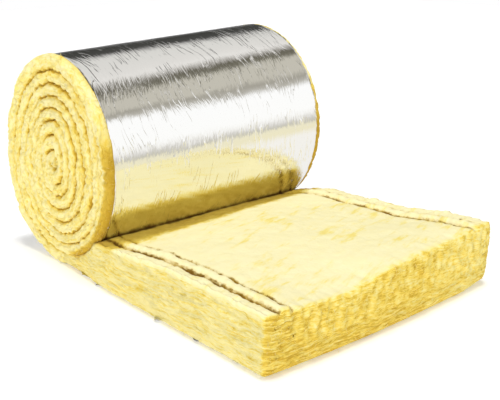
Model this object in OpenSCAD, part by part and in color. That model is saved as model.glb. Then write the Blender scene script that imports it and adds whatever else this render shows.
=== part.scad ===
// Foil-faced insulation blanket: a wound roll with its outer end unrolled on the floor.
// X runs along the roll, the unrolled end points to -Y, and the floor is Z = 0.

/* [Blanket] */
// Width of the facing, which is the blanket's nominal width
blanket_w = 600; // [400:10:1200]
// Thickness of the loose blanket at its cut end
blanket_t = 131; // [80:1:180]
// Thickness of the facing
foil_t = 0.8; // [0.5:0.1:2]
// How far the wool swells past the facing at the roll's left end
swell_left = 10; // [2:1:25]
// How far the wool swells past the facing at the roll's right end
swell_right = 6; // [2:1:25]
// How far the loose wool swells past the facing on each side of the unrolled end
swell_loose = 25; // [4:1:60]

/* [Roll] */
// Distance from the roll's axis to the facing where the roll lies on the unrolled end
roll_r = 230; // [150:1:320]
// Thickness of one wound turn
turn_t = 31; // [22:1:45]
// Radius at which the innermost turn closes up
core_r = 14; // [8:1:30]
// How far the outline leans out at its upper front and lower back
lean = 9; // [0:0.5:15]
// How far the outline is squashed from top to bottom
squash = 2; // [0:0.5:8]
// How far the outline bellies out at its front and flattens at its back
belly = 2.4; // [0:0.2:6]

/* [Unrolled end] */
// Length that lies in front of the roll's axis
loose_l = 735; // [450:5:1500]
// How far the top edge of the cut end hangs past its bottom edge
overhang = 8; // [0:1:25]
// Thickness of the loose blanket where it comes out from under the roll
nip_h = 100; // [60:1:120]
// Share of the unrolled length over which the wool springs back to its full thickness
rise = 0.6; // [0.3:0.05:0.9]
// Radius of the rounded top edge of the cut end
edge_r = 14; // [4:1:30]
// How far round the roll the facing runs on inside the closed nip, in degrees
tuck = 24; // [6:1:30]

/* [Turn lines on the ends] */
// Width of the groove between two turns
groove_w = 4; // [2:0.5:8]
// Depth of the groove between two turns
groove_d = 8; // [3:1:15]

/* [Hidden] */

// One turn is 360 degrees, counted from the underside round by the front, top and back.
turn = 360;
outline_steps = 84;
tuck_steps = 8;
groove_step = 12;
over = 5;

// Plain spiral radius at an angle counted on from the underside
function wound(a) = roll_r + turn_t * a / turn;
// Sag and lean of the soft roll, which fade toward the core
function slack(a) = min(1, wound(a) / roll_r) * (squash * (cos(2 * a) - 1)
    - lean * sin(2 * a) - belly * (cos(3 * a) - 1));
function reach(a) = wound(a) + slack(a);

axis_z = reach(turn);

// A point on the wound surface, moved in toward the axis by an inset, in the roll's own Y and Z
function spot(a, inset = 0) = [-(reach(a) - inset) * sin(a), axis_z - (reach(a) - inset) * cos(a)];
// The same point kept above the floor, where the roll's weight flattens it
function rest(a, inset = 0) = [spot(a, inset)[0], max(inset, spot(a, inset)[1])];

// The angle at which the wound surface stands at a height, found by halving
function angle_at(h, low = 5, high = 85, tries = 24) = tries == 0 ? (low + high) / 2 :
    spot((low + high) / 2)[1] < h ? angle_at(h, (low + high) / 2, high, tries - 1)
    : angle_at(h, low, (low + high) / 2, tries - 1);

nip_a = angle_at(nip_h);
nip_y = spot(nip_a)[0];
tip_y = -(loose_l + overhang);
back_y = max([for (i = [0:outline_steps]) rest(nip_a + (turn - nip_a) * i / outline_steps)[0]]);
// Moves the roll's axis so that the whole part is centred on Y = 0
shift_y = -(tip_y + back_y) / 2;

// Top of the loose wool at a share of the way from the nip to the cut end
function loose_z(u) = nip_h + (blanket_t - nip_h) * sin(90 * min(1, u / rise));
round_u = 1 - edge_r / (nip_y - tip_y);

outer_turn = [for (i = [0:outline_steps]) rest(nip_a + (turn - nip_a) * i / outline_steps)];
outer_turn_in = [for (i = [0:outline_steps])
    rest(nip_a + (turn - nip_a) * i / outline_steps, foil_t)];
tucked = [for (i = [0:tuck_steps - 1]) spot(nip_a - tuck + tuck * i / tuck_steps)];
tucked_in = [for (i = [0:tuck_steps - 1]) spot(nip_a - tuck + tuck * i / tuck_steps, foil_t)];
cut_end = concat([[-loose_l, 0]],
    [for (b = [0:15:90]) [tip_y + edge_r * (1 - cos(b)), blanket_t - edge_r * (1 - sin(b))]]);
loose_top = [for (i = [20:-1:1]) [nip_y + (tip_y - nip_y) * round_u * i / 20,
    loose_z(round_u * i / 20)]];
under_roll = [for (i = [tuck_steps:-1:0]) spot(nip_a * i / tuck_steps)];

// Angle at which the innermost turn closes up
core_a = turn * (core_r - roll_r) / turn_t;
groove_n = ceil((nip_a - core_a) / groove_step);

function reverse(v) = [for (i = [len(v) - 1:-1:0]) v[i]];

// Runs a Y-Z outline along X from one place to another
module along_x(x0, x1) {
    translate([x0, shift_y, 0]) rotate([90, 0, 90]) linear_extrude(x1 - x0) children();
}

// The groove between the turns, wound from the nip in to the core
module turn_groove() {
    side_out = [for (i = [0:groove_n]) spot(nip_a + (core_a - nip_a) * i / groove_n, -groove_w / 2)];
    side_in = [for (i = [0:groove_n]) spot(nip_a + (core_a - nip_a) * i / groove_n, groove_w / 2)];
    polygon(concat(side_out, reverse(side_in)));
}

module wool_blanket() {
    color([0.95, 0.87, 0.55]) difference() {
        union() {
            along_x(-blanket_w / 2 - swell_left, blanket_w / 2 + swell_right)
                polygon(concat(outer_turn, cut_end, loose_top));
            along_x(-blanket_w / 2 - swell_loose, blanket_w / 2 + swell_loose)
                polygon(concat([[0, 0]], cut_end, loose_top, under_roll));
        }
        along_x(-blanket_w / 2, blanket_w / 2) facing_outline();
        along_x(-blanket_w / 2 - swell_loose - over, -blanket_w / 2 - swell_left + groove_d)
            turn_groove();
        along_x(blanket_w / 2 + swell_right - groove_d, blanket_w / 2 + swell_loose + over)
            turn_groove();
    }
}

// The facing's path: from inside the nip, round the roll and out under the loose end
module facing_outline() {
    polygon(concat(tucked, outer_turn, [[-loose_l, 0], [-loose_l, foil_t]],
        reverse(outer_turn_in), reverse(tucked_in)));
}

module foil_facing() {
    color([0.80, 0.81, 0.83]) along_x(-blanket_w / 2, blanket_w / 2) facing_outline();
}

wool_blanket();
foil_facing();
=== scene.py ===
# %% [markdown]
# # A partly unrolled insulation blanket
# The object is one long blanket of yellow glass wool with a bright foil facing on its outer side.
# Most of it is still wound; the outer end lies unrolled on the floor. Everything here is made in
# metres, in the same frame as the CAD model: X runs along the roll, the loose end points to -Y.

# %% Load the frame
import math
import bpy
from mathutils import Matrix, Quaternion, Vector


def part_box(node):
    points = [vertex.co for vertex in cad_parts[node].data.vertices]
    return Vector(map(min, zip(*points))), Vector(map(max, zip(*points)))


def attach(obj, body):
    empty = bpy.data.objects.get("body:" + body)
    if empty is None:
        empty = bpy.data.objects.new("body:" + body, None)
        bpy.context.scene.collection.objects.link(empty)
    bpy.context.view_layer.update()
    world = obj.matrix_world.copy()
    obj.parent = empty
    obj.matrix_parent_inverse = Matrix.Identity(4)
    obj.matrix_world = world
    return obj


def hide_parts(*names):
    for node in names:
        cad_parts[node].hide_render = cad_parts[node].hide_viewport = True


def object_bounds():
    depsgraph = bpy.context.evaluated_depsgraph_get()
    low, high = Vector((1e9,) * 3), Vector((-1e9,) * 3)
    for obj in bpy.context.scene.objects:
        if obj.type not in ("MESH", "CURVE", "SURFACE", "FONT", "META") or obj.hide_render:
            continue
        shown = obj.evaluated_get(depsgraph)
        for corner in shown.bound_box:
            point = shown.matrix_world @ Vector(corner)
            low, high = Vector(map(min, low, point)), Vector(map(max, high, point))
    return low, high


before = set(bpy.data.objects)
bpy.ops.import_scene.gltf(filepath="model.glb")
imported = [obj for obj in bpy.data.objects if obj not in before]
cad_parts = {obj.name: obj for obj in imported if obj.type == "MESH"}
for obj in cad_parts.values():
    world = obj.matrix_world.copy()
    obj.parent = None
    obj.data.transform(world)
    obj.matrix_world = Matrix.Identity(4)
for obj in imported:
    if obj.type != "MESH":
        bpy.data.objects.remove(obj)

cad_low, cad_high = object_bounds()
foil_low, foil_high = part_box("foil_facing")
print("CAD box", [round(v, 4) for v in (*cad_low, *cad_high)])

# %% [markdown]
# ## The sizes that drive the blanket
# The roll is a spiral: each turn adds one thickness of squeezed wool. A soft roll isn't round, so
# three small terms lean, squash and belly its outline. These are the sizes of the real piece, and
# the CAD solid was made from the same ones; the widths and places come from the CAD box.

# %% Sizes of the blanket
FACING_W = foil_high[0] - foil_low[0]
ROLL_R = 0.230  # radius where the last whole turn starts
TURN_T = 0.031  # thickness of one squeezed turn
CORE_R = 0.014
LEAN, SQUASH, BELLY = 0.009, 0.002, 0.0024  # how far the outline is from round
LOOSE_L = 0.735  # from under the roll's axis to the cut face
OVERHANG = 0.008  # the top of the cut face leans out by this much
LOOSE_T = 0.131
NIP_H = 0.100  # height of the nip, where the roll meets the loose end
RISE = 0.6  # share of the loose end over which it springs back to its full thickness
TUCK = math.radians(24)  # how far the facing reaches into the closed nip
FLOOR_GAP = 0.001  # the wool stays this far above the floor, for the facing under it
FLARE = 0.049  # how much bigger the roll's far end is than its near end
SWELL_LEFT, SWELL_RIGHT, SWELL_LOOSE = 0.010, 0.006, 0.022  # wool standing past the facing
TURN = 2 * math.pi
AXIS_Y = cad_low[1] + LOOSE_L + OVERHANG


def outline(a):
    """Radius of the wound surface at an angle counted on from the underside."""
    wound = ROLL_R + TURN_T * a / TURN
    fade = min(1, wound / ROLL_R)
    slack = SQUASH * (math.cos(2 * a) - 1) - LEAN * math.sin(2 * a) - BELLY * (math.cos(3 * a) - 1)
    return wound + fade * slack


AXIS_Z = outline(TURN)


def above_floor(a):
    """Height of the wound surface above the floor at an angle."""
    return AXIS_Z - outline(a) * math.cos(a)


NIP_A = next(a / 1000 for a in range(100, 1500) if above_floor(a / 1000) > NIP_H)
NIP_Y = -outline(NIP_A) * math.sin(NIP_A)
print("roll axis at", round(AXIS_Y, 4), round(AXIS_Z, 4))
print("nip at", round(math.degrees(NIP_A), 1), "degrees")

# %% [markdown]
# ## Writing node trees as sums
# Geometry and shader trees are both graphs of sockets. Wiring Math nodes by hand hides the formula,
# so a small class wraps one socket and turns Python arithmetic into Math nodes. Every other kind
# of node comes from one function that sets its options first and then its sockets.


# %% A wire that does arithmetic
class Wire:
    """One output socket; arithmetic on it adds Math nodes to its tree."""

    def __init__(self, tree, socket):
        self.tree, self.socket = tree, socket

    def math(self, operation, *values):
        return node(self.tree, "ShaderNodeMath", {"operation": operation}, values)

    def __add__(self, other):
        return self.math("ADD", self, other)

    def __sub__(self, other):
        return self.math("SUBTRACT", self, other)

    def __rsub__(self, other):
        return self.math("SUBTRACT", other, self)

    def __mul__(self, other):
        return self.math("MULTIPLY", self, other)

    def __truediv__(self, other):
        return self.math("DIVIDE", self, other)

    def __rtruediv__(self, other):
        return self.math("DIVIDE", other, self)

    def __pow__(self, other):
        return self.math("POWER", self, other)

    def __neg__(self):
        return self * -1

    __radd__, __rmul__ = __add__, __mul__


def node(tree, kind, settings=None, sockets=(), out=0):
    """Adds one node: its settings first, then values or wires for its sockets. Returns an output."""
    made = tree.nodes.new(kind)
    for name, value in (settings or {}).items():
        if name == "stops":
            fill_ramp(made.color_ramp, value)
        else:
            setattr(made, name, value)
    wire_in(made, sockets if isinstance(sockets, dict) else dict(enumerate(sockets)))
    return Wire(tree, made.outputs[out])


def wire_in(made, sockets):
    """Fills a node's sockets from a dict of values and wires."""
    for key, value in sockets.items():
        if isinstance(value, Wire):
            made.id_data.links.new(value.socket, made.inputs[key])
        elif value is not None:
            made.inputs[key].default_value = value


def fill_ramp(ramp, stops):
    """Gives a colour ramp its stops: (place, (r, g, b))."""
    while len(ramp.elements) < len(stops):
        ramp.elements.new(0.5)
    for element, (place, colour) in zip(ramp.elements, stops):
        element.position, element.color = place, (*colour, 1)


# %% Small formulas that both kinds of tree use
def sin(w):
    return w.math("SINE", w)


def cos(w):
    return w.math("COSINE", w)


def absolute(w):
    return w.math("ABSOLUTE", w)


def at_least(w, low):
    return w.math("MAXIMUM", w, low)


def clamp(w, low=0.0, high=1.0):
    return w.math("MINIMUM", at_least(w, low), high)


def smooth(w, low, high):
    """0 below low, 1 above high, with an eased ramp between."""
    t = clamp((w - low) / (high - low))
    return t * t * (3 - 2 * t)


def mix(a, b, share):
    """Goes from a to b as share goes from 0 to 1."""
    return a + (b - a) * share


def sum_of(wires):
    total = wires[0]
    for wire in wires[1:]:
        total = total + wire
    return total


def vector(tree, x, y, z):
    return node(tree, "ShaderNodeCombineXYZ", None, [x, y, z])


def split(w):
    return [node(w.tree, "ShaderNodeSeparateXYZ", None, [w], i) for i in range(3)]


def noise(tree, place, scale=1.0, detail=2.0, roughness=0.5):
    """Noise from -1 to 1, roughly."""
    raw = node(tree, "ShaderNodeTexNoise", None,
               {"Vector": place, "Scale": scale, "Detail": detail, "Roughness": roughness})
    return (raw - 0.5) * 2


# %% [markdown]
# ## Growing a piece from a rule
# Each big piece starts as a flat grid. A Geometry Nodes tree numbers its points by row and column
# and a formula puts each one in place, so a size can be changed in one spot. The result is
# turned into a plain mesh at the end, because a file for exchange keeps no modifiers.


# %% A geometry tree, and the mesh that it makes
def new_rule(name, sizes, base=None):
    """A Geometry Nodes tree with named float inputs; returns the tree and the inputs as wires."""
    tree = bpy.data.node_groups.new(name, "GeometryNodeTree")
    if base:
        tree.interface.new_socket(base, in_out="INPUT", socket_type="NodeSocketGeometry")
    for label, value in sizes.items():
        socket = tree.interface.new_socket(label, in_out="INPUT", socket_type="NodeSocketFloat")
        socket.default_value = value
    tree.interface.new_socket("Geometry", in_out="OUTPUT", socket_type="NodeSocketGeometry")
    entry = tree.nodes.new("NodeGroupInput")
    labels = [*sizes, base] if base else [*sizes]
    return tree, {label: Wire(tree, entry.outputs[label]) for label in labels}


def finish_rule(tree, shape, material):
    """Ends a tree with Realize Instances and Set Material."""
    shape = node(tree, "GeometryNodeRealizeInstances", None, [shape])
    shape = node(tree, "GeometryNodeSetMaterial", None, {"Geometry": shape, "Material": material})
    last = tree.nodes.new("NodeGroupOutput")
    tree.links.new(shape.socket, last.inputs[0])


def grow(name, tree, sizes, start=None):
    """Runs a tree with the given sizes and returns a plain mesh object."""
    base = bpy.data.objects.new(name + "_rule", start or bpy.data.meshes.new(name + "_rule"))
    bpy.context.collection.objects.link(base)
    modifier = base.modifiers.new("rule", "NODES")
    modifier.node_group = tree
    for item in tree.interface.items_tree:
        if item.in_out == "INPUT" and item.name in sizes:
            modifier[item.identifier] = sizes[item.name]
    graph = bpy.context.evaluated_depsgraph_get()
    mesh = bpy.data.meshes.new_from_object(base.evaluated_get(graph), preserve_all_data_layers=True,
                                           depsgraph=graph)
    mesh.name = name
    base.modifiers.clear()
    bpy.data.objects.remove(base)
    piece = bpy.data.objects.new(name, mesh)
    bpy.context.collection.objects.link(piece)
    mesh.calc_loop_triangles()
    print(name, "has", len(mesh.loop_triangles), "triangles")
    return piece


# %% Grids with numbered rows and columns
def numbered_grid(tree, rows, columns):
    """A grid of rows x columns steps; returns it with the row and column number as wires."""
    grid = node(tree, "GeometryNodeMeshGrid", None,
                {"Size X": 1.0, "Size Y": 1.0, "Vertices X": rows + 1, "Vertices Y": columns + 1})
    x, y, _ = split(node(tree, "GeometryNodeInputPosition"))
    return grid, (x + 0.5) * rows, (y + 0.5) * columns


def place(tree, shape, x, y, z):
    """Moves every point of a shape to the place that the formulas give."""
    return node(tree, "GeometryNodeSetPosition", None,
                {"Geometry": shape, "Position": vector(tree, x, y, z)})


def keep(tree, shape, name, x, y, z):
    """Keeps three numbers on every point, for the finish to read."""
    return node(tree, "GeometryNodeStoreNamedAttribute",
                {"data_type": "FLOAT_VECTOR", "domain": "POINT"},
                {"Geometry": shape, "Name": name, "Value": vector(tree, x, y, z)})


def close(tree, shape):
    """Joins the points that meet at seams, and shades the surface smooth."""
    shape = node(tree, "GeometryNodeMergeByDistance", None, {"Geometry": shape, "Distance": 0.00001})
    return node(tree, "GeometryNodeSetShadeSmooth", None, {"Geometry": shape})


# %% [markdown]
# ## The outline as a formula on wires
# The same spiral as in the sizes cell, now on wires, so that a whole grid of points can follow it.
# Squeezed wool doesn't wind evenly, so `wander` moves the boundaries between the turns in and out a
# little. The outermost turn stays smooth, because the foil is stretched over it.

# %% Spiral radius on wires
MIN_R = 0.001  # nothing comes nearer to the axis than this
OVAL = 0.20  # how oval the inner turns are
SETTLE = 0.008  # how far the turns sink away from the top of the outer one
WANDER_SLOW, WANDER_QUICK = 0.0060, 0.0095


def spiral(size, a):
    """Radius of the boundary between two turns at an angle; below zero it lies further in."""
    wound = at_least(size["Roll Radius"] + size["Turn Thickness"] * a / TURN, MIN_R)
    fade = clamp(wound / size["Roll Radius"])
    slack = (cos(a * 2) - 1) * SQUASH - sin(a * 2) * LEAN - (cos(a * 3) - 1) * BELLY
    oval = (1 - fade) * fade * cos(a * 2) * size["Roll Radius"] * OVAL
    top = (1 - cos(a)) * 0.5 * clamp(a * -0.7) * clamp((wound - 0.09) / 0.07) * SETTLE
    return wound + slack * fade + oval - top, fade


def wander(tree, size, a, fade, end):
    """How far a boundary wanders in or out, from noise laid over the roll's end."""
    r = fade * size["Roll Radius"]
    spot = vector(tree, end * 0.3, sin(a) * r, cos(a) * r)
    free = clamp((0.5 - a) / 1.2)
    slow = noise(tree, spot, 20.0, 2.0) * WANDER_SLOW
    quick = noise(tree, spot, 70.0, 2.0) * WANDER_QUICK
    return (slow + quick) * free


# %% [markdown]
# ## The wound blanket
# The wound part is one strip, swept round the spiral from the core to the underside. Its
# cross-section is a loop of points: up one cut edge, across the outer face, down the other edge
# and back across the inner face. The edges swell out between the turns, which is what draws the
# grooves on the ends of a real roll. Steps of equal length along the spiral keep the mesh even.
# A padded cover could be made by simulating cloth, but wool has no cover to drape: it is a springy
# slab. So no cloth is simulated here; formulas with a few layers of noise shape the wool, and its
# sizes stay easy to change.

# %% A loop of points round a cross-section
def loop_of(column, edge, across, hem=0.0):
    """Splits a column number into how deep (0 inner, 1 outer) and how far across (0 to 1) it is."""
    deep = clamp(column / edge) - clamp((column - edge - across) / edge)
    far = crossing(column - edge, across, hem) - crossing(column - 2 * edge - across, across, hem)
    return deep, far


def crossing(k, across, hem):
    """0 to 1 in a number of steps, of which the first and the last may be only hem wide."""
    if not hem:
        return clamp(k / across)
    middle = clamp((k - 1) / (across - 2)) * (1 - 2 * hem)
    return clamp(k) * hem + middle + clamp(k - (across - 1)) * hem


# %% The run of the strip round the spiral
WOUND_ROWS = 1900
EDGE_STEPS = 18
ACROSS_STEPS = 6
HEM = 0.010  # the outer and inner faces get a narrow strip of their own along each edge


def strip_run(size, row):
    """For each row: how far along the strip it lies, at what angle, and how far it is opened up."""
    pitch = size["Turn Thickness"] / TURN
    core_a = (size["Core Radius"] - size["Roll Radius"]) / pitch
    core_s = size["Roll Radius"] * core_a + pitch * core_a * core_a * 0.5
    last_s = size["Roll Radius"] * TURN + pitch * (TURN * TURN / 2)
    share = clamp(row / (WOUND_ROWS - 1))
    s = mix(core_s, last_s, share)
    under = size["Roll Radius"] * size["Roll Radius"] + pitch * s * 2
    a = (under.math("SQRT", under) - size["Roll Radius"]) / pitch
    return s, a, clamp((s - core_s) / 0.02) * clamp(WOUND_ROWS - row)


# %% How the cut edges stand out between the turns
LUMP, FOLD, CLUMP = 0.0110, 0.0190, 0.0022  # three layers of unevenness, from wide to narrow
DOME = 0.004  # the middle of the end stands out
FRONT_SWELL = 0.008  # and so does the side of the roll towards the loose end
PINCH, PINCH_VARIES, RIM_PINCH = 0.007, 0.014, 0.001  # depth of the grooves between turns


def edge_bulge(tree, size, along, a, deep, far, fade, rim):
    """How far an edge stands past the facing, and the crown it makes between two grooves."""
    crown = (4 * deep * (1 - deep)) ** mix(0.30, 0.42, rim)
    lumps = noise(tree, along, 14.0, 2.0) * LUMP
    folds = (0.25 - absolute(noise(tree, along, 48.0, 3.0))) * FOLD
    clumps = noise(tree, along, 100.0, 2.0) * CLUMP * (1 - rim * 0.7)
    swell = mix(size["Swell Left"], size["Swell Right"], far) + lumps + folds + clumps
    swell = swell + (1 - fade) * DOME
    front = clamp(sin(a)) * smooth(a, -2.5, 0.3) * FRONT_SWELL
    pinch = PINCH + noise(tree, along, 30.0, 2.0) * PINCH_VARIES
    bulge = (swell + front) * mix(0.22, 1.0, crown) - (1 - crown) * mix(pinch, RIM_PINCH, rim)
    return bulge, crown


# %% Rule for the wound blanket
UNDER_FOIL = 0.0012  # the wool stays this far under the facing
CORE_SHIFT, CORE_DROP = 0.020, 0.012  # the middle of the spiral isn't on the axis


def wound_rule(material):
    tree, size = new_rule("wind the blanket", {
        "Facing Width": FACING_W, "Roll Radius": ROLL_R, "Turn Thickness": TURN_T,
        "Core Radius": CORE_R, "Swell Left": SWELL_LEFT, "Swell Right": SWELL_RIGHT})
    loop = 2 * (EDGE_STEPS + ACROSS_STEPS)
    grid, row, column = numbered_grid(tree, WOUND_ROWS, loop)
    deep, far = loop_of(column, EDGE_STEPS, ACROSS_STEPS, HEM)
    s, a, open_up = strip_run(size, row)

    # The turn lies between its own boundary and the one that is a whole turn further in.
    outer, fade = spiral(size, a)
    inner, fade_in = spiral(size, a - TURN)
    outer = outer + wander(tree, size, a, fade, far)
    inner = inner + wander(tree, size, a - TURN, fade_in, far)
    inner = at_least(inner, MIN_R)
    outer = outer - UNDER_FOIL
    through = 0.5 + (deep - 0.5) * open_up
    r = mix(inner, outer, through)

    # The rim is the outer half of the outermost turn's edge, which the foil ends on.
    rim = smooth(a, -0.8, 0.2) * smooth(deep, 0.45, 0.95)
    along = vector(tree, s, far * 3, through * size["Turn Thickness"])
    bulge, crown = edge_bulge(tree, size, along, a, deep, far, fade, rim)
    at_hem = 1 - clamp((0.5 - absolute(far - 0.5)) * 150)
    lip = mix(0.0036, 0.0016, far) + noise(tree, along, 46.0, 2.0) * mix(0.0030, 0.0008, far)
    r = r + rim * at_hem * lip
    x = (far * 2 - 1) * (size["Facing Width"] * 0.5 + bulge * open_up)
    scale = 1 + x / size["Facing Width"] * FLARE
    y = AXIS_Y - r * sin(a) * scale + (1 - fade) * CORE_SHIFT
    z = at_least((AXIS_Z - r * cos(a)) * scale - (1 - fade) * CORE_DROP, FLOOR_GAP)

    # The flank is the part of the rim that faces the loose end, where painted shade makes the wool
    # darkest.
    shape = keep(tree, grid, "lie", s, x, through * size["Turn Thickness"])
    flank = smooth(a, -0.8, 0.2) * smooth(deep, 0.46, 0.78) * smooth(cos(a), -0.60, -0.10)
    flank = flank * smooth(sin(a), 0.05, 0.30)
    shape = keep(tree, shape, "cut", mix(crown, 1.0, rim * at_hem), 1.0, flank)
    shape = keep(tree, shape, "seam", 1.0, 1.0, 0.0)
    finish_rule(tree, close(tree, place(tree, shape, x, y, z)), material)
    return tree


# %% [markdown]
# ## The loose end
# Out from under the roll the same strip springs back to its full thickness. It is again a loop of
# points swept along a path, with a separate cap for the ragged cut face. Two shallow grooves run
# along each long edge of the top, where the wool was stitched down when it was made. One function
# places all the grids, so their edges meet exactly and can be merged into one closed shape.

# %% The top of the loose end
LIFT, SLANT = 0.006, 0.013  # the top rises towards the cut face, and more on the far side
DROOP, SAG = 0.016, 0.013  # it droops along the far edge and sags at the cut face
RAGGED = 0.007  # how uneven the top is along its edges
TOP_GAP = 0.0015  # the top stays this far under the roll's surface at the nip


def loose_top(tree, size, a, past, side, outer, free, sheet):
    """Height of the top surface."""
    spring = clamp(past / RISE) * (math.pi / 2)
    top = AXIS_Z - outer * cos(a) + (size["Loose Thickness"] - NIP_H) * sin(spring)
    tilt = (LIFT + side * SLANT) * smooth(past, 0.0, 0.25)
    droop = smooth(side, -0.2, 1.0) * smooth(past, 0.05, 0.40) * (1 - smooth(past, 0.62, 0.98))
    sag = (1 - smooth(absolute(side + 0.45), 0.05, 0.55)) * smooth(past, 0.70, 1.0)
    tilt = tilt - droop * DROOP - sag * SAG
    soft = noise(tree, sheet, 7.0, 3.0) * 0.006 + noise(tree, sheet, 34.0, 2.0) * 0.0022
    near_edge = smooth(absolute(side), 0.86, 0.99)
    near_edge = near_edge.math("MAXIMUM", near_edge, smooth(past, 0.955, 1.0))
    ragged = noise(tree, sheet, 62.0, 3.0) * RAGGED * near_edge
    return top + (tilt + soft + ragged) * free - TOP_GAP


# %% The stitched grooves
SEAM_IN = (0.025, 0.057)  # how far in from the long edge each groove runs
SEAM_HALF, SEAM_DEPTH = 0.0036, 0.0080  # half its width, and its depth
PUFF, PUFF_VARIES, PUFF_HALF = 0.005, 0.006, 0.010  # the strip between the grooves


def seam_relief(tree, y, side, spread, sheet):
    """How far each groove's middle is from a point, and the height that both add to the top."""
    rib = noise(tree, vector(tree, y, side * 0.1, 0.0), 14.0, 2.0) * 0.006
    rib = rib + noise(tree, vector(tree, y, side * 0.1, 0.0), 90.0, 1.0) * 0.004
    inward = (1 - absolute(side)) * (spread + 0.012)
    seams = [inward - place_in + rib for place_in in SEAM_IN]
    dip = sum_of([1 / (1 + (seam / SEAM_HALF) ** 2) for seam in seams]) * SEAM_DEPTH
    puff = noise(tree, sheet, 46.0, 2.0) * PUFF_VARIES + PUFF
    puff = puff / (1 + ((inward - sum(SEAM_IN) / 2 + rib) / PUFF_HALF) ** 4)
    return seams, puff - dip


# %% The lifted corner
CORNER_LIFT = 0.008


def corner_lift(side, past):
    """The front right corner doesn't lie quite flat on the floor."""
    return smooth(side, 0.72, 1.0) * smooth(past, 0.80, 1.0) * CORNER_LIFT


# %% One part of the loose end
UNDER_ROWS = 46  # rows from under the roll's axis to the nip
LOOSE_ROWS = 140  # rows from the nip to the cut face
SIDE_STEPS = 38
TOP_STEPS = 150
END_SHORT = 0.006  # the cut face bulges, so the tube stops this much short of the full length
EDGE_CROWD = 0.075  # moves columns of the top towards the long edges, where the detail is
FAR_SIDE_OUT = (0.010, 0.029, 0.031)  # the far side spreads: behind, at the top front, at the foot
STRATA, STRATA_WIDE = 0.0090, 0.0050  # how far the layers stand out of the long sides
DRIFT = 0.017  # the loose end lies a little askew
TORN_UPPER, TORN_LOWER = 0.0120, 0.0090  # roughness of the cut face, above and below
BOW = 0.012  # the cut face is bowed


def loose_part(tree, size, shape, row, deep, far, is_cap):
    """Places one grid of the loose end: the tube (row given), its cut face or its hidden back."""
    if row is None:
        row = node(tree, "ShaderNodeValue")
        row.socket.default_value = (UNDER_ROWS + LOOSE_ROWS) if is_cap else 0
    a = clamp(row / UNDER_ROWS) * NIP_A
    past = clamp((row - UNDER_ROWS) / LOOSE_ROWS)
    outer, _ = spiral(size, a)
    run = size["Loose Length"] + NIP_Y - END_SHORT
    y = -outer * sin(a) - past * run
    free = smooth(-y, 0.02, 0.20)

    far = far - sin(far * TURN) * EDGE_CROWD
    side = far * 2 - 1
    spread = size["Facing Width"] * 0.5
    sheet = vector(tree, y, side * spread, 0.0)
    top = loose_top(tree, size, a, past, side, outer, free, sheet)
    seams, relief = seam_relief(tree, y, side, spread, sheet)
    top = top + relief * free * smooth(past, 0.0, 0.06)

    z = top * (1 - deep) + corner_lift(side, past) * deep
    edge = 4 * deep * (1 - deep)
    crown = mix(edge ** 0.33, edge ** 0.2, free)
    strip = vector(tree, y * 0.35, side * 3, z * 5.0)
    strata = noise(tree, strip, 44.0, 3.0) * STRATA + noise(tree, strip, 12.0, 2.0) * STRATA_WIDE
    swell = mix(mix(SWELL_LEFT, SWELL_RIGHT, far), size["Swell"], free)
    lip = mix(-0.013, 0.013 - far * 0.008, free)
    bulge = swell * crown + (1 - crown) * lip + strata * crown
    behind, at_top, at_foot = FAR_SIDE_OUT
    corner = smooth(past, 0.45, 0.95)
    bulge = bulge + far * free * mix(behind, mix(at_top, at_foot, deep), corner)
    x = side * (spread + bulge) + y * DRIFT

    end = smooth(past, 0.985, 1.0)
    lean = (1 - deep) * OVERHANG * end
    if is_cap:
        inset = clamp(deep * 12) * clamp((1 - deep) * 12)
        inset = inset * clamp(far * 40) * clamp((1 - far) * 40)
        inset = inset ** 0.5
        blotch = noise(tree, vector(tree, x * 1.7, 0.0, z * 1.1), 34.0, 3.0) * TORN_UPPER
        lines = noise(tree, vector(tree, x * 0.5, 3.0, z * 4.0), 38.0, 3.0) * TORN_LOWER
        low = clamp(smooth(deep, 0.50, 0.72) + smooth(-side, 0.82, 0.94))
        lean = lean + (0.008 + mix(blotch, lines, low)) * inset
    bow = ((1 - side * side) * BOW + side * 0.003) * end
    y = y - lean - bow

    shape = keep(tree, shape, "lie", y, x, z)
    torn = 1.0 if is_cap else clamp(deep * 10)
    shape = keep(tree, shape, "cut", crown, torn, 1.0 if is_cap else 0.0)
    shape = keep(tree, shape, "seam", seams[0], seams[1], free)
    return place(tree, shape, x, y + AXIS_Y, z + FLOOR_GAP)


# %% Rule for the loose end
def loose_rule(material):
    tree, size = new_rule("unroll the end", {
        "Facing Width": FACING_W, "Roll Radius": ROLL_R, "Turn Thickness": TURN_T,
        "Loose Length": LOOSE_L, "Loose Thickness": LOOSE_T, "Swell": SWELL_LOOSE})
    loop = 2 * (SIDE_STEPS + TOP_STEPS)
    tube, row, column = numbered_grid(tree, UNDER_ROWS + LOOSE_ROWS, loop)
    deep, far = loop_of(column, SIDE_STEPS, TOP_STEPS)
    tube = loose_part(tree, size, tube, row, deep, far, None)
    cap, far_c, deep_c = numbered_grid(tree, TOP_STEPS, SIDE_STEPS)
    cap = loose_part(tree, size, cap, None, deep_c / SIDE_STEPS, far_c / TOP_STEPS, True)
    back, far_b, deep_b = numbered_grid(tree, TOP_STEPS, SIDE_STEPS)
    back = node(tree, "GeometryNodeFlipFaces", None, [back])  # so that it faces backwards
    back = loose_part(tree, size, back, None, deep_b / SIDE_STEPS, far_b / TOP_STEPS, False)
    joined = tree.nodes.new("GeometryNodeJoinGeometry")
    for part in (back, cap, tube):
        tree.links.new(part.socket, joined.inputs[0])
    finish_rule(tree, close(tree, Wire(tree, joined.outputs[0])), material)
    return tree


# %% [markdown]
# ## Loose fibres
# Torn glass wool has short strands standing out of every cut edge; they are what makes its outline
# soft. Points are scattered on the cut faces with a fixed seed, and each gets one bent, three-sided
# strand: with thousands of them, a strand may have only a few faces.

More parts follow.
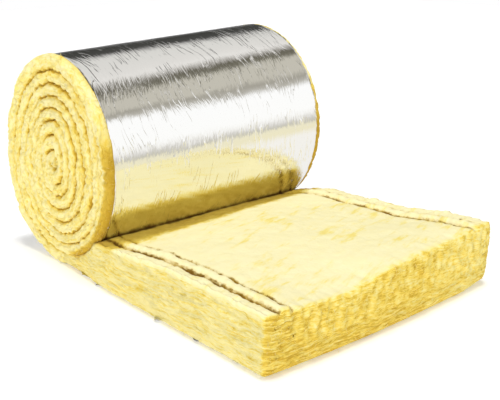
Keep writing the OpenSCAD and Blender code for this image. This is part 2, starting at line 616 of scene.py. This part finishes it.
# %% Rule for the fibres
STRANDS_PER_M2 = 11000
STRAND_L = 0.011
STRAND_R = 0.00032
CUT_ENOUGH = 0.6  # strands grow only on the cut edges that stand out, not down in the grooves


def fibre_rule(material):
    tree, size = new_rule("scatter the strands", {
        "Strands": STRANDS_PER_M2, "Strand Length": STRAND_L, "Strand Radius": STRAND_R}, "Wool")
    crown, cut, _ = split(node(tree, "GeometryNodeInputNamedAttribute",
                               {"data_type": "FLOAT_VECTOR"}, ["cut"]))
    on_cut = node(tree, "FunctionNodeCompare", {"data_type": "FLOAT"}, [crown * cut, CUT_ENOUGH])
    scatter = tree.nodes.new("GeometryNodeDistributePointsOnFaces")
    wire_in(scatter, {"Mesh": size["Wool"], "Selection": on_cut, "Density": size["Strands"], "Seed": 7})
    points, outward = Wire(tree, scatter.outputs["Points"]), Wire(tree, scatter.outputs["Normal"])
    astray = node(tree, "FunctionNodeRandomValue", {"data_type": "FLOAT_VECTOR"},
                  {0: (-1, -1, -1), 1: (1, 1, 1), "Seed": 3})
    lean = node(tree, "ShaderNodeVectorMath", {"operation": "MULTIPLY_ADD"},
                [outward, (0.65, 0.65, 0.65), astray])
    turned = node(tree, "FunctionNodeAlignRotationToVector", {"axis": "Z"}, {"Vector": lean})
    long = size["Strand Length"]
    bend = node(tree, "GeometryNodeCurveQuadraticBezier", None, {
        "Resolution": 3, "Start": vector(tree, 0.0, 0.0, long * -0.2),
        "Middle": vector(tree, long * 0.35, 0.0, long * 0.5), "End": vector(tree, 0.0, long * 0.2, long)})
    profile = node(tree, "GeometryNodeCurvePrimitiveCircle", None,
                   {"Resolution": 3, "Radius": size["Strand Radius"]})
    strand = node(tree, "GeometryNodeCurveToMesh", None,
                  {"Curve": bend, "Profile Curve": profile, "Fill Caps": True})
    grown = node(tree, "FunctionNodeRandomValue", {"data_type": "FLOAT"}, {2: 0.4, 3: 1.25, "Seed": 5}, 1)
    placed = node(tree, "GeometryNodeInstanceOnPoints", None, {
        "Points": points, "Instance": strand, "Rotation": turned, "Scale": grown})
    placed = node(tree, "GeometryNodeRealizeInstances", None, [placed])
    x, y, z = split(node(tree, "GeometryNodeInputPosition"))
    finish_rule(tree, place(tree, placed, x, y, at_least(z, 0.0008)), material)
    return tree


# %% [markdown]
# ## The foil facing
# The facing is one thin sheet bonded to the wool's outer side. It starts in the closed nip, goes
# round the outside of the roll and runs on under the loose end. A grid follows that path, and a
# Solidify modifier gives it its thickness.

# %% Rule for the facing
FOIL_TURN_ROWS = 330
FOIL_FLOOR_ROWS = 90
FOIL_COLUMNS = 110
FOIL_T = 0.0004
FLOOR_WIDER = 0.014  # on the floor the facing reaches out to the edge of the swollen wool
PEEK = 0.009  # and past it where it ripples
EDGE_RISE = 0.0060  # its edges lift a little off the floor


def foil_rule(material):
    tree, size = new_rule("lay the facing", {
        "Facing Width": FACING_W, "Roll Radius": ROLL_R, "Turn Thickness": TURN_T,
        "Loose Length": LOOSE_L})
    grid, row, column = numbered_grid(tree, FOIL_TURN_ROWS + FOIL_FLOOR_ROWS, FOIL_COLUMNS)
    start_a = NIP_A - TUCK
    a = start_a + clamp(row / FOIL_TURN_ROWS) * (TURN - start_a)
    past = clamp((row - FOIL_TURN_ROWS) / FOIL_FLOOR_ROWS)
    far = column / FOIL_COLUMNS
    side = far * 2 - 1
    spread = size["Facing Width"] * 0.5 + smooth(past, 0.0, 0.3) * FLOOR_WIDER
    ripple = noise(tree, vector(tree, past * 4 + a, side * 9, 0.0), 3.0, 3.0)
    ripple = clamp(ripple, -0.5, 0.45)
    on_floor = clamp(past * 6)
    hem = ripple * mix(0.002, 0.024, on_floor) + smooth(ripple, 0.08, 0.36) * on_floor * PEEK
    x = side * (spread + hem * side * side)
    scale = 1 + x / size["Facing Width"] * FLARE
    r, _ = spiral(size, a)
    sag = vector(tree, x * 3.0, sin(a), cos(a))
    r = r + noise(tree, sag, 2.2, 2.0) * 0.0009 * smooth(a, NIP_A, NIP_A + 0.4)
    y = AXIS_Y - r * sin(a) * scale - past * (size["Loose Length"] - 0.012 + ripple * 0.012)
    z = (AXIS_Z - r * cos(a)) * scale
    lift = side * side * side * side * smooth(past, 0.05, 0.3) * clamp(0.4 + ripple * 2) * EDGE_RISE
    lift = lift + corner_lift(side, past)
    unrolled = clamp(past * 1000)
    z = at_least(z, FOIL_T) * (1 - unrolled) + (FOIL_T + lift) * unrolled
    x = x - past * 0.0125
    shape = keep(tree, grid, "lie", r * a - past * -1 * size["Loose Length"], x, 0.0)
    finish_rule(tree, close(tree, place(tree, shape, x, y, z)), material)
    return tree


# %% [markdown]
# ## Finishes
# A finish is a tree of shader nodes. The patterns here follow the blanket round the roll, so they
# don't read where a point is in space but the numbers that the rules kept on it: `lie` says how far
# along, across and through the blanket it is, `cut` how much it belongs to a cut edge, and `seam`
# how far it is from each stitched groove.


# %% A shader tree to start from
def new_material(name):
    material = bpy.data.materials.new(name)
    material.use_nodes = True
    tree = material.node_tree
    tree.nodes.clear()
    return material, tree


def blend(tree, low, high, share):
    """Mixes two colours."""
    return node(tree, "ShaderNodeMix", {"data_type": "RGBA"}, {0: share, 6: low, 7: high}, 2)


def attribute(tree, name):
    return node(tree, "ShaderNodeAttribute", {"attribute_name": name}, (), 1)


def output(material, shader):
    """Ends a material's tree with its shader."""
    tree = material.node_tree
    last = tree.nodes.new("ShaderNodeOutputMaterial")
    tree.links.new(shader.socket, last.inputs["Surface"])
    print(material.name, "is made of", len(tree.nodes), "nodes")


# %% [markdown]
# ## Glass wool
# Glass wool is matt and soft. Its colour goes from cream on the skin to honey yellow down between
# the fibres, and the layers that it was laid in show as long streaks on every cut edge. One number,
# `pile`, stands for how much light gets to a spot; a colour ramp turns it into the four colours, and
# nearly the same mix of noises makes the relief, so that dark spots are also low ones.

# %% Colours of the wool
HONEY = (0.62, 0.39, 0.040)
GOLD = (0.87, 0.65, 0.11)
STRAW = (0.92, 0.79, 0.28)
CREAM = (0.95, 0.88, 0.53)
# A dark honey for the painted shade on the rim's flank.
FLANK_SHADE_HONEY = (0.52, 0.32, 0.030, 1)
# Dark brown for the scorched seam marks, and for painted shade at the nip's contact line.
SCORCH_AND_CONTACT_SHADE = (0.15, 0.065, 0.010, 1)


# %% Streaks, lumps and tufts
def wool_patterns(tree, s, x, t):
    """The noises that the wool is made from. They are long along the blanket and thin through it."""
    warp = noise(tree, vector(tree, s * 14, x * 14, t * 20), 1.0, 3.0) * 0.014
    layers = noise(tree, vector(tree, s * 20, x * 20, (t + warp) * 250), 1.0, 4.0, 0.62)
    creases = noise(tree, vector(tree, s * 30, x * 30, (t + warp) * 110), 1.0, 2.0, 0.5)
    creases = clamp(1 - absolute(creases) * 15)
    lumps = noise(tree, vector(tree, s * 18, x * 30, t * 90), 1.0, 2.0, 0.5) * 0.6 - creases * 0.24
    tufts = noise(tree, vector(tree, s * 50, x * 50, t * 80), 1.0, 4.0, 0.65)
    fine = noise(tree, vector(tree, s * 62, x * 62, (t + warp) * 430), 1.0, 3.0, 0.65)
    clouds = noise(tree, vector(tree, s * 7, x * 7, t * 7), 1.0, 3.0)
    blotch = noise(tree, vector(tree, s * 20, x * 62, t * 42), 1.0, 3.0, 0.6)
    return layers, lumps, tufts, fine, clouds, blotch


# %% Marks along the stitched grooves, and painted shade at the nip
def groove_marks(tree, colour, s, x, first, second, tufts, layers, stitched):
    """Darkens the wool along both grooves and paints shade along the nip's contact line; returns the
    colour and how scorched it is.
    """
    broken = noise(tree, vector(tree, s * 24, x * 60, 0.0), 1.0, 3.0)
    ragged = tufts * 0.006 + layers * 0.003
    first = absolute(first + ragged)
    second = absolute(second + ragged)
    wide = clamp(2 - smooth(first, 0.001, 0.0075) - smooth(second, 0.001, 0.0065))
    thin = (1 - smooth(first, 0.001, 0.0052)) + (1 - smooth(second, 0.001, 0.0046)) * 0.9
    colour = blend(tree, colour, (*HONEY, 1), wide * smooth(broken, -0.6, 0.0) * stitched)
    scorch = thin * smooth(broken, -0.34, 0.10) * stitched
    # Painted shade: the crease where the roll sits on the loose end is darkened to near-black brown.
    contact_shade = (1 - smooth(-s + tufts * 0.01, 0.160, 0.172)) * stitched
    return blend(tree, colour, SCORCH_AND_CONTACT_SHADE, clamp(scorch * 0.9 + contact_shade)), scorch


# %% The wool's finish
def wool_finish():
    material, tree = new_material("glass_wool")
    s, x, t = split(attribute(tree, "lie"))
    crown, cut, part = split(attribute(tree, "cut"))
    first, second, free = split(attribute(tree, "seam"))
    face = part * free
    flank = part * (1 - free)
    layers, lumps, tufts, fine, clouds, blotch = wool_patterns(tree, s, x, t)

    upper = face * smooth(t, 0.035, 0.055) * smooth(x, -0.285, -0.240)
    edge = mix(mix(lumps, layers, free), blotch * 0.62 + layers * 0.42, upper)
    wisps = noise(tree, vector(tree, x * 13 + s * 9, s * 44 - x * 14, 2.0), 1.0, 4.0, 0.6)
    skin = 0.98 - smooth(wisps + clouds * 0.7, 0.02, 0.52) * 0.44 + tufts * 0.14
    base = mix(0.735, 0.72, free) - face * (mix(0.43, 0.39, upper) - smooth(x, 0.02, 0.28) * 0.19)
    rough = base + edge * mix(0.80, 0.92, free)
    rough = rough + tufts * mix(0.14, 0.20, free) + fine * mix(0.50, 0.70, free)
    rough = clamp(rough + clouds * 0.16, 0.0, mix(0.84, 0.78, free) - face * 0.08)
    pile = mix(skin, rough, cut)
    # Painted shade: the grooves between the turns on the roll's end, and the rim's flank, are darkened
    # here.
    groove = (1 - smooth(crown, 0.35, 0.96)) * (1 - free)
    pile = pile - groove * 0.62 - flank * 0.60
    # Painted shade: the strip of the loose end's top beside the nip, under the roll's overhang, is turned
    # dark gold; the overhead lamp also casts a real shadow there.
    nip = (1 - smooth(-s + tufts * 0.03, 0.222, 0.262)) * free * (1 - cut)
    pile = mix(pile, 0.24 + tufts * 0.2 + layers * 0.2, nip)
    colour = node(tree, "ShaderNodeValToRGB", {
        "stops": [(0.04, HONEY), (0.34, GOLD), (0.62, STRAW), (1.0, CREAM)]}, [pile])
    # Painted shade: the rim's flank that faces the loose end is tinted towards dark honey.
    colour = blend(tree, colour, FLANK_SHADE_HONEY, flank * clamp(0.60 + tufts * 0.5))
    colour, scorch = groove_marks(tree, colour, s, x, first, second, tufts, layers, (1 - cut) * free)

    height = edge * mix(mix(0.0030, 0.0024, free), 0.0014, face)
    height = height + tufts * mix(0.0016, 0.0010, face) + fine * 0.0004
    height = mix(tufts * 0.0010, height, cut) - scorch * 0.003
    bump = node(tree, "ShaderNodeBump", None, {"Strength": 1.0, "Distance": 1.0, "Height": height})
    shader = node(tree, "ShaderNodeBsdfPrincipled", None, {
        "Base Color": colour, "Roughness": 1.0, "Normal": bump, "Specular IOR Level": 0.0,
        "Sheen Weight": 0.12, "Sheen Roughness": 0.6, "Sheen Tint": (1.0, 0.80, 0.30, 1)})
    output(material, shader)
    return material


# %% [markdown]
# ## Strands and foil
# A strand is too thin to need a pattern of its own, so a slow noise on Object coordinates only makes
# some strands lighter than others. The facing is bright aluminium foil, nearly a mirror. What shows
# on it is its creases, which run round the roll, so its bump is made of noises that are long round
# the roll and narrow along it.

# %% Strands
def strand_finish():
    material, tree = new_material("glass_strands")
    spot = node(tree, "ShaderNodeTexCoord", None, (), 3)
    shade = noise(tree, spot, 140.0, 2.0)
    colour = node(tree, "ShaderNodeValToRGB", {
        "stops": [(0.0, GOLD), (0.5, STRAW), (1.0, CREAM)]}, [0.6 + shade * 1.2])
    output(material, node(tree, "ShaderNodeBsdfPrincipled", None, {
        "Base Color": colour, "Roughness": 0.8, "Specular IOR Level": 0.0}))
    return material


# %% Foil
def foil_finish():
    material, tree = new_material("bright_foil")
    s, x, _ = split(attribute(tree, "lie"))
    slant = x + s * 0.04 + noise(tree, vector(tree, s * 5, x * 5, 0.0), 1.0, 2.0) * 0.03
    patch = smooth(noise(tree, vector(tree, s * 5, x * 6, 4.0), 1.0, 2.0), -0.30, 0.30)
    streaks = noise(tree, vector(tree, s * 42, slant * 330, 0.0), 1.0, 2.0, 0.5)
    strokes = noise(tree, vector(tree, s * 18, slant * 120, 3.0), 1.0, 2.0, 0.5)
    lines = noise(tree, vector(tree, s * 7, slant * 55, 8.0), 1.0, 2.0, 0.5)
    somewhere = noise(tree, vector(tree, s * 14, x * 16, 6.0), 1.0, 2.0)
    lines = clamp(1 - absolute(lines) * 16) * smooth(somewhere, -0.15, 0.20)
    height = streaks * mix(0.00010, 0.00026, patch) + strokes * mix(0.0001, 0.0005, patch)
    height = height + lines * 0.00060
    bump = node(tree, "ShaderNodeBump", None, {"Strength": 1.0, "Distance": 1.0, "Height": height})
    dull = noise(tree, vector(tree, s * 12, x * 30, 2.0), 1.0, 3.0)
    shader = node(tree, "ShaderNodeBsdfPrincipled", None, {
        "Base Color": (0.93, 0.93, 0.92, 1), "Metallic": 1.0,
        "Roughness": 0.06 + dull * 0.04, "Normal": bump})
    output(material, shader)
    return material


# %% [markdown]
# ## Making the pieces
# Each rule is run with its sizes, and the fibre rule once on each piece of wool. All five pieces
# ride on the one body and stand for the plain CAD solids.

# %% Wool pieces
wool = wool_finish()
wound = grow("wool_wound", wound_rule(wool), {"Turn Thickness": TURN_T})
loose = grow("wool_loose_end", loose_rule(wool), {"Loose Length": LOOSE_L})
for piece in (wound, loose):
    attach(piece, "root")
    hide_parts("wool_blanket")

# %% Fibres on both wool pieces
strands = fibre_rule(strand_finish())
for piece, end in ((wound, "wound"), (loose, "loose_end")):
    fibres = grow("fibres_" + end, strands, {"Strands": STRANDS_PER_M2}, piece.data.copy())
    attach(fibres, "root")
    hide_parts("wool_blanket")

# %% The facing
foil = grow("foil_facing_sheet", foil_rule(foil_finish()), {"Facing Width": FACING_W})
wall = foil.modifiers.new("wall", "SOLIDIFY")
wall.thickness, wall.offset = FOIL_T, -1
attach(foil, "root")
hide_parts("foil_facing")

# %% [markdown]
# ## The studio
# A plain pale floor and soft white light. The foil is a mirror, so it shows the room: the room is
# painted as soft strips that run along the roll's axis, as studio screens would; one cream strip low in
# front is a painted reflection of the yellow wool.


# %% Floor
def make_floor(half=7.0):
    mesh = bpy.data.meshes.new("studio_floor")
    mesh.from_pydata([(-half, -half, 0), (half, -half, 0), (half, half, 0), (-half, half, 0)], [],
                     [(0, 1, 2, 3)])
    floor = bpy.data.objects.new("studio_floor", mesh)
    bpy.context.collection.objects.link(floor)
    material, tree = new_material("studio_white")
    output(material, node(tree, "ShaderNodeBsdfPrincipled", None, {
        "Base Color": (0.95, 0.95, 0.95, 1), "Roughness": 1.0, "Specular IOR Level": 0.0,
        "Emission Color": (1, 1, 1, 1), "Emission Strength": 0.15}))
    mesh.materials.append(material)
    floor.location.z = -0.0005
    floor.visible_glossy = False
    return floor


make_floor()

# %% Room
AMBIENT = (0.42, 0.42, 0.42, 1)  # the light that the room throws on the wool
GREY_WARM = (0.578, 0.552, 0.479)
# Each stop is an angle round the roll's axis in degrees, from the front up and over, and a colour. The
# cream stops at -16 and -10 paint a reflection of the yellow wool.
ROOM = [
    (-180, (0.9, 0.9, 0.9)), (-24, (0.97, 0.95, 0.90)), (-16, (0.91, 0.85, 0.60)),
    (-10, (0.90, 0.85, 0.63)), (-7, (0.60, 0.58, 0.50)), (-3, (0.72, 0.70, 0.66)), (2, (0.97, 0.96, 0.93)),
    (8, (1.05, 1.05, 1.04)), (36, (1.05, 1.05, 1.05)), (42, (0.50, 0.48, 0.43)), (47, (0.38, 0.36, 0.31)),
    (52, GREY_WARM), (71, GREY_WARM), (76, (0.20, 0.19, 0.15)), (82, (0.13, 0.12, 0.09)),
    (88, (0.45, 0.43, 0.40)), (95, (0.84, 0.82, 0.79)), (103, (0.78, 0.76, 0.73)),
    (129, (0.72, 0.71, 0.68)), (135, (0.45, 0.44, 0.43)), (140, (0.07, 0.07, 0.065)),
    (165, (0.05, 0.05, 0.045)), (180, (0.3, 0.3, 0.3))]


def make_room():
    world = bpy.data.worlds.new("studio_room")
    bpy.context.scene.world = world
    world.use_nodes = True
    tree = world.node_tree
    tree.nodes.clear()
    x, y, z = split(node(tree, "ShaderNodeTexCoord", None, (), 0))
    angle = z.math("ARCTAN2", z, -y)
    turned = angle - clamp(smooth(angle, 0.6, 1.2)) * smooth(-angle, -2.2, -1.7) * (x - 0.57) * 1.2
    share = (turned + math.pi) / TURN
    strips = node(tree, "ShaderNodeValToRGB",
                  {"stops": [((a + 180) / 360, c) for a, c in ROOM]}, [share])
    seen = node(tree, "ShaderNodeLightPath", None, (), 0)
    mirrored = node(tree, "ShaderNodeLightPath", None, (), 3)
    colour = blend(tree, AMBIENT, strips, mirrored)
    colour = blend(tree, colour, (1, 1, 1, 1), seen)
    background = node(tree, "ShaderNodeBackground", None, [colour, 1.0])
    last = tree.nodes.new("ShaderNodeOutputWorld")
    tree.links.new(background.socket, last.inputs[0])
    print("the room has", len(ROOM), "stops")


make_room()


# %% Lamps
def make_lamp(name, towards, strength, spread):
    """A distant soft lamp: the way its light goes, its strength and its apparent size in degrees."""
    data = bpy.data.lights.new(name, "SUN")
    data.energy, data.angle = strength, math.radians(spread)
    lamp = bpy.data.objects.new(name, data)
    bpy.context.collection.objects.link(lamp)
    lamp.rotation_euler = Vector(towards).to_track_quat("-Z", "Y").to_euler()
    lamp.visible_glossy = False  # the foil mirrors the room only
    print("lamp", name, "has strength", strength)
    return lamp


make_lamp("overhead", (0.0, 0.02, -1.0), 1.52, 14)
make_lamp("front_fill", (0.85, 0.62, -0.20), 1.92, 60)

# %% [markdown]
# ## The camera
# The camera stands in front of the roll's near end and looks slightly down, so the turns on the
# end, the foil and the cut face of the loose end all show.


# %% Camera
def make_camera(place_at, yaw, pitch, roll, lens):
    data = bpy.data.cameras.new("camera")
    data.lens, data.sensor_width = lens, 36
    camera = bpy.data.objects.new("camera", data)
    bpy.context.collection.objects.link(camera)
    ahead = Vector((math.sin(yaw) * math.cos(pitch), math.cos(yaw) * math.cos(pitch), -math.sin(pitch)))
    camera.location = place_at
    camera.rotation_mode = "QUATERNION"
    turn = ahead.to_track_quat("-Z", "Y")
    camera.rotation_quaternion = turn @ Quaternion((0, 0, 1), roll)
    bpy.context.scene.camera = camera
    return camera


make_camera((-1.2444, AXIS_Y - 1.7273, 0.7502), 0.725, 0.300, -0.005, 61.7)
bpy.context.scene.view_settings.view_transform = "Standard"
